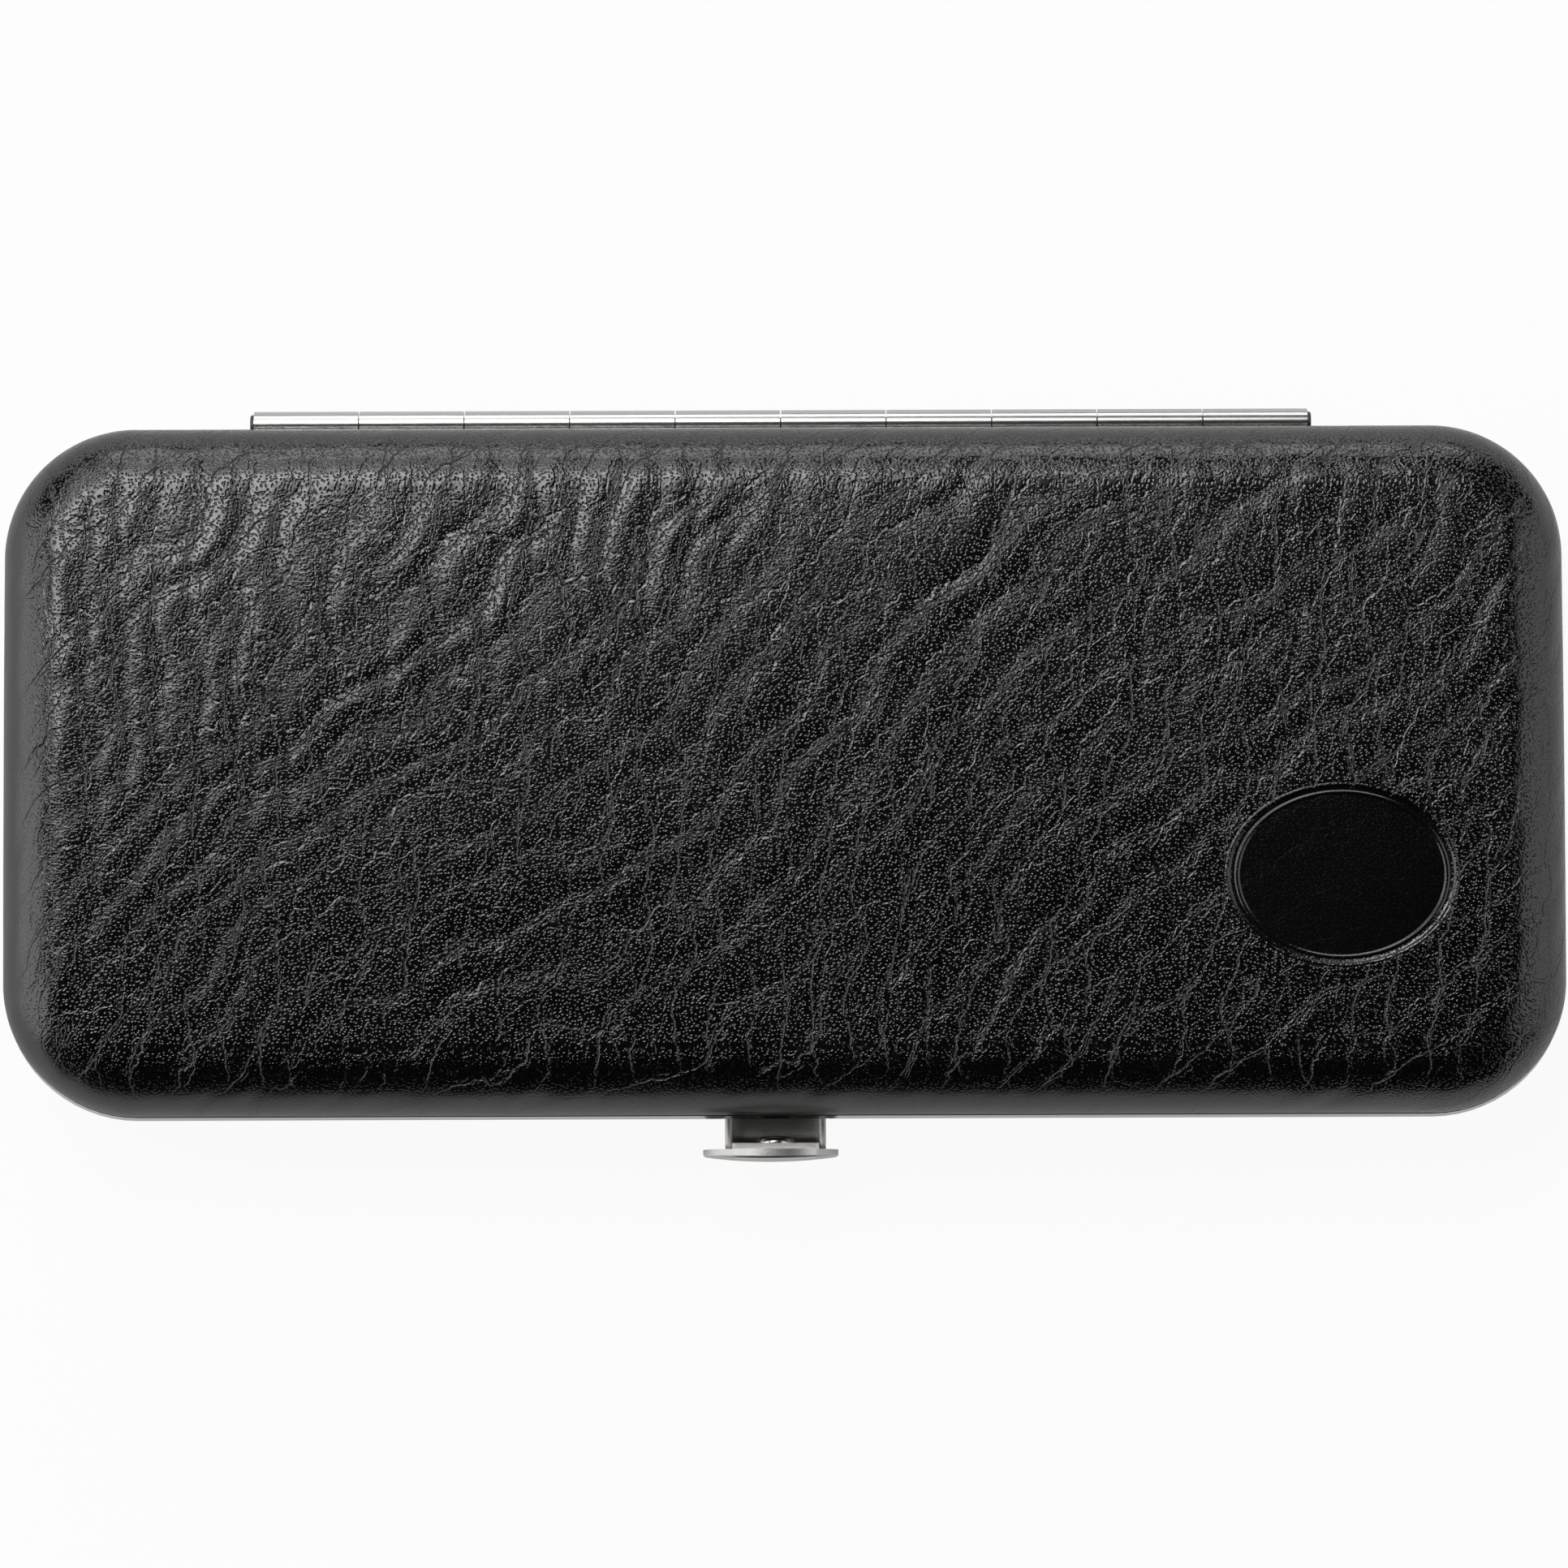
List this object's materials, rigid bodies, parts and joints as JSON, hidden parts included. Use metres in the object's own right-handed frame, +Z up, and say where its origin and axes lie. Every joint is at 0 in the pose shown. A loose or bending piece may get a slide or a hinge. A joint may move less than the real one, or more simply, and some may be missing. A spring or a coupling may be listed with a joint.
{
  "type": "manicure set case",
  "caption": "Slim leather-covered hinged case with a sprung thumb catch, holding nail scissors, cuticle nippers, file, pusher and tweezers under elastic loops.",
  "frame": {"origin": "centre of the base's flat underside, on the surface that the case rests on", "axes": "+X along the case's length, +Y from the catch to the hinge, +Z up through the lid"},
  "size_m": [0.1456, 0.0705, 0.021],
  "materials": {
    "leather": "black grained leather, semi-matt with a soft sheen on the crests",
    "shell_steel": "pressed sheet steel, hidden between leather and lining",
    "padding": "thin foam under the lid's leather",
    "lining": "black velour lining",
    "nickel": "bright nickel plate",
    "spring_steel": "blank spring steel",
    "elastic": "black woven elastic",
    "tool_steel": "satin stainless steel",
    "file_grip": "moulded black plastic"
  },
  "bodies": {
    "base": {"base_leather": "leather", "base_shell": "shell_steel", "base_lining": "lining", "base_rim": "nickel", "hinge_pin": "nickel", "catch_bracket": "nickel", "catch_pin": "nickel", "catch_spring": "spring_steel", "catch_rivets": "nickel", "scissor_strap": "elastic", "nipper_strap": "elastic", "base_strap_rivets": "nickel", "scissor_blade_fixed": "tool_steel", "scissor_screw": "tool_steel", "nipper_half_fixed": "tool_steel", "nipper_screw": "tool_steel", "nipper_spring_fixed": "spring_steel"},
    "lid": {"lid_leather": "leather", "lid_padding": "padding", "lid_shell": "shell_steel", "lid_lining": "lining", "lid_rim": "nickel", "lid_keeper": "nickel", "keeper_rivets": "nickel", "lid_strap_left": "elastic", "lid_strap_right": "elastic", "lid_strap_rivets": "nickel"},
    "catch": {"catch_lever": "nickel", "thumb_plate": "nickel", "thumb_rivet": "nickel"},
    "scissor_arm": {"scissor_blade_moving": "tool_steel"},
    "nipper_arm": {"nipper_half_moving": "tool_steel", "nipper_spring_moving": "spring_steel"},
    "file": {"file_blade": "tool_steel", "file_handle": "file_grip"},
    "pusher": {"cuticle_pusher": "tool_steel"},
    "tweezers": {"tweezer_arm_fixed": "tool_steel"},
    "tweezer_arm": {"tweezer_arm_moving": "tool_steel"}
  },
  "joints": [
    {"name": "lid_hinge", "type": "hinge", "parent": "base", "child": "lid", "pos_m": [-0.0002, 0.0329, 0.01], "axis": [-1, 0, 0], "range_deg": [0, 175]},
    {"name": "catch_press", "type": "hinge", "parent": "base", "child": "catch", "pos_m": [-0.0009, -0.0265, 0.0076], "axis": [1, 0, 0], "range_deg": [0, 10], "stiffness_Nm_per_rad": 0.06, "springref_deg": -8.59, "deforming": ["catch_spring"]},
    {"name": "scissors_open", "type": "hinge", "parent": "base", "child": "scissor_arm", "pos_m": [-0.01461, 0.0087, 0.0026], "axis": [0, 0, -1], "range_deg": [0, 6]},
    {"name": "nipper_squeeze", "type": "hinge", "parent": "base", "child": "nipper_arm", "pos_m": [-0.0017, -0.0121, 0.0026], "axis": [0, 0, -1], "range_deg": [0, 7.8], "stiffness_Nm_per_rad": 0.05, "springref_deg": -5.73, "deforming": ["nipper_spring_fixed", "nipper_spring_moving"]},
    {"name": "file_slide", "type": "slide", "parent": "lid", "child": "file", "axis": [1, 0, 0], "range_m": [0, 0.009]},
    {"name": "pusher_slide", "type": "slide", "parent": "lid", "child": "pusher", "axis": [1, 0, 0], "range_m": [0, 0.014]},
    {"name": "tweezers_slide", "type": "slide", "parent": "lid", "child": "tweezers", "axis": [1, 0, 0], "range_m": [0, 0.02]},
    {"name": "tweezers_squeeze", "type": "hinge", "parent": "tweezers", "child": "tweezer_arm", "pos_m": [-0.0443, -0.01529, 0.01455], "axis": [0, -1, 0], "range_deg": [0, 1.4], "stiffness_Nm_per_rad": 0.4, "springref_deg": -2.86}
  ]
}
